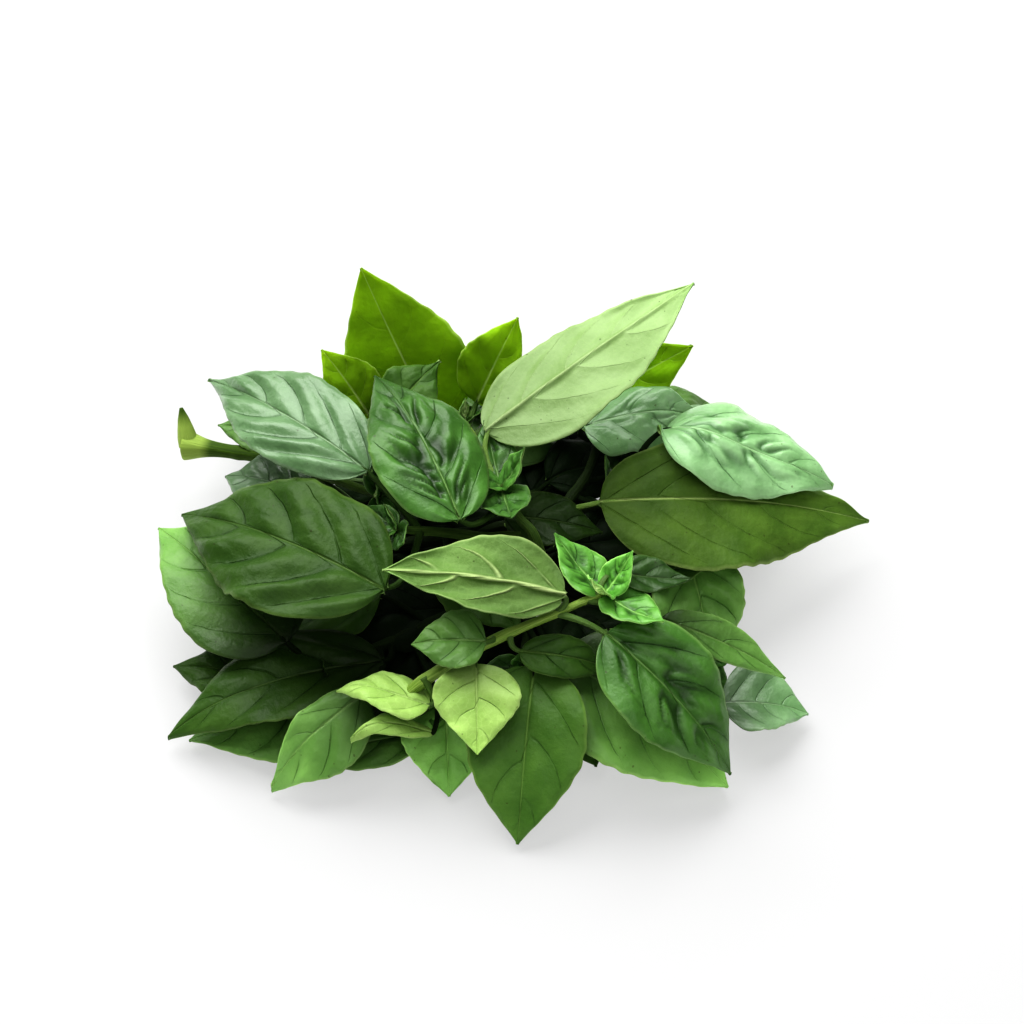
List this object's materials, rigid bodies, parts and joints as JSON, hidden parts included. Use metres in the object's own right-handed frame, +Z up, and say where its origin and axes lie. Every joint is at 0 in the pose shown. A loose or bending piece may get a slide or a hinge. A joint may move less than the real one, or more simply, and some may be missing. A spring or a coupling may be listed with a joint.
{
  "type": "basil bunch",
  "caption": "Bunch of fresh basil lying on its side: leafy sprigs heaped over each other, with broad pointed leaves, stalks, square stems and young leaf tufts.",
  "frame": {"origin": "middle of the bunch's outline seen from above, on the surface that it lies on", "axes": "+X to the bunch's right along its longest extent, +Y to its back, +Z up off the surface, its shortest extent"},
  "size_m": [0.198, 0.1716, 0.0663],
  "materials": {
    "shaded_leaf": "satin",
    "deep_leaf": "satin",
    "bright_leaf": "satin",
    "pale_leaf": "satin"
  },
  "bodies": {
    "root": {"sprig_front_left": "shaded_leaf", "sprig_right_front": "shaded_leaf", "sprig_back_low": "shaded_leaf", "sprig_left_low": "deep_leaf", "sprig_front": "deep_leaf", "sprig_back_right": "deep_leaf", "sprig_right": "deep_leaf", "sprig_back": "bright_leaf", "sprig_left_back": "deep_leaf", "sprig_left_top": "deep_leaf", "sprig_front_top": "bright_leaf", "sprig_top": "pale_leaf"}
  },
  "joints": []
}
